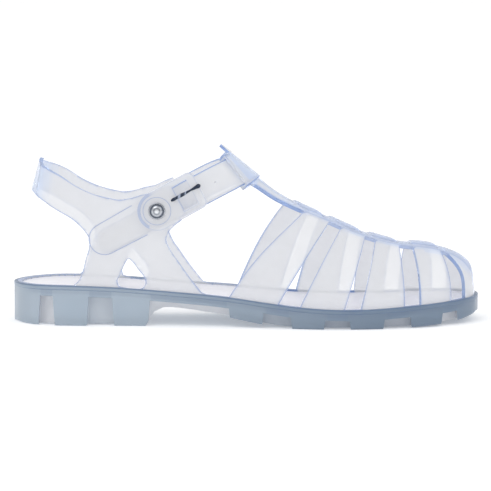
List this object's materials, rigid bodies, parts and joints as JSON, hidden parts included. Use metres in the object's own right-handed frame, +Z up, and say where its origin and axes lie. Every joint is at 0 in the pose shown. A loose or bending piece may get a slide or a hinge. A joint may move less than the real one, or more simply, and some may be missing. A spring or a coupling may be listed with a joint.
{
  "type": "jelly sandal",
  "caption": "Clear jelly sandal for a right foot, with a closed round toe, caged straps, a T-bar, a buckled ankle strap and a blue-grey tinted sole.",
  "frame": {"origin": "middle of the sole's plan, on the floor that it stands on", "axes": "+X to the toe, +Y to the inner side of the foot, +Z up"},
  "size_m": [0.2532, 0.0939, 0.0959],
  "materials": {
    "tinted_plastic": "satin",
    "milky_plastic": "satin",
    "clear_plastic": "satin",
    "bright_steel": "polished",
    "dark_steel": "satin"
  },
  "bodies": {
    "root": {"sole": "tinted_plastic", "insole": "milky_plastic", "upper": "clear_plastic", "buckle_frame": "clear_plastic", "buckle_stud": "bright_steel", "buckle_prong": "dark_steel"}
  },
  "joints": []
}
